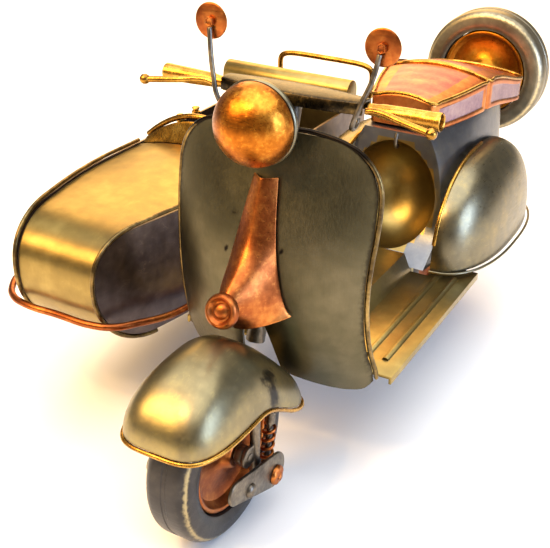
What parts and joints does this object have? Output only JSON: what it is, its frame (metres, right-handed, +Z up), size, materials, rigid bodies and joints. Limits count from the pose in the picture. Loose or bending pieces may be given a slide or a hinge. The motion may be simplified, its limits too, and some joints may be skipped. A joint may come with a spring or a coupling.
{
  "type": "toy scooter with sidecar",
  "caption": "Handmade sheet-metal model of a motor scooter with a sidecar, a spare wheel and copper and brass coloured trim, standing on its wheels.",
  "frame": {"origin": "centre of the footprint, on the ground under the tyres", "axes": "+Z up, +Y from the front wheel back to the spare wheel, +X to the scooter's left, away from the sidecar"},
  "size_m": [0.203, 0.3262, 0.1784],
  "materials": {
    "raw_steel": "bare sheet steel, scratched and lacquered, with a warm tint",
    "dark_steel": "bare steel rod, darkened by heat and handling",
    "copper": "copper-coloured metal, brushed by hand and lacquered",
    "brass": "brass-coloured wire and bar, polished",
    "seat_copper": "metal seat skin, copper pink with pale panels and pressed pleats",
    "tyre_paint": "dark grey painted metal, worn bare along the edges"
  },
  "bodies": {
    "chassis": {"spare_tyre": "tyre_paint", "spare_rim": "copper", "horn_cover": "copper", "horn_boss": "copper", "bumper_rail": "copper", "shield_bead": "brass", "sidecar_bead_inner": "brass", "sidecar_bead_outer": "brass", "sidecar_dash": "brass", "sidecar_hoop": "brass", "sidecar_knob_front": "brass", "sidecar_knob_rear": "brass", "grab_rail": "brass", "side_axle": "dark_steel", "rear_fork": "dark_steel", "spare_mount": "dark_steel", "strut_front": "dark_steel", "strut_rear": "dark_steel", "leg_shield": "raw_steel", "floor": "raw_steel", "rear_body": "raw_steel", "cover_left": "raw_steel", "cover_right": "raw_steel", "sidecar_plate_inner": "raw_steel", "sidecar_plate_outer": "raw_steel", "sidecar_cowl": "raw_steel", "sidecar_backrest": "raw_steel", "sidecar_pan": "raw_steel", "seat_front": "seat_copper", "seat_rear": "seat_copper"},
    "steering": {"steering_column": "dark_steel", "handlebar": "dark_steel", "grip_left": "brass", "grip_right": "brass", "mirror_stalk_left": "dark_steel", "mirror_stalk_right": "dark_steel", "headlight_dome": "copper", "headlight_housing": "raw_steel", "mudguard": "raw_steel", "mudguard_bead": "brass", "front_fork": "dark_steel", "link_left": "dark_steel", "link_right": "dark_steel", "link_bolt_left": "copper", "link_bolt_right": "copper", "damper_left": "dark_steel", "damper_right": "dark_steel", "spring_left": "brass", "spring_right": "brass", "front_axle": "dark_steel"},
    "front_wheel": {"front_tyre": "tyre_paint", "front_rim": "copper"},
    "rear_wheel": {"rear_tyre": "tyre_paint", "rear_rim": "copper"},
    "sidecar_wheel": {"side_tyre": "tyre_paint", "side_rim": "copper"},
    "brake_lever_left": {"lever_left": "brass"},
    "brake_lever_right": {"lever_right": "brass"},
    "mirror_disc_left": {"mirror_left": "copper"},
    "mirror_disc_right": {"mirror_right": "copper"}
  },
  "joints": [
    {"name": "steer", "type": "hinge", "parent": "chassis", "child": "steering", "pos_m": [0.04455, -0.0723, 0.15], "axis": [0, 0.2785, 0.9604], "range_deg": [-10, 10]},
    {"name": "front_wheel_spin", "type": "hinge", "parent": "steering", "child": "front_wheel", "pos_m": [0.04455, -0.1243, 0.034], "axis": [1, 0, 0], "continuous": true},
    {"name": "rear_wheel_spin", "type": "hinge", "parent": "chassis", "child": "rear_wheel", "pos_m": [0.04455, 0.0737, 0.034], "axis": [1, 0, 0], "continuous": true},
    {"name": "sidecar_wheel_spin", "type": "hinge", "parent": "chassis", "child": "sidecar_wheel", "pos_m": [-0.08945, 0.0457, 0.034], "axis": [1, 0, 0], "continuous": true},
    {"name": "brake_left", "type": "hinge", "parent": "steering", "child": "brake_lever_left", "pos_m": [0.07415, -0.0775, 0.1512], "axis": [0, 0, 1], "range_deg": [0, 12]},
    {"name": "brake_right", "type": "hinge", "parent": "steering", "child": "brake_lever_right", "pos_m": [0.01495, -0.0775, 0.1512], "axis": [0, 0, -1], "range_deg": [0, 12]},
    {"name": "mirror_turn_left", "type": "hinge", "parent": "steering", "child": "mirror_disc_left", "pos_m": [0.07715, -0.0743, 0.172], "axis": [0, 0, 1], "range_deg": [-30, 30]},
    {"name": "mirror_turn_right", "type": "hinge", "parent": "steering", "child": "mirror_disc_right", "pos_m": [0.01195, -0.0743, 0.172], "axis": [0, 0, 1], "range_deg": [-30, 30]}
  ]
}
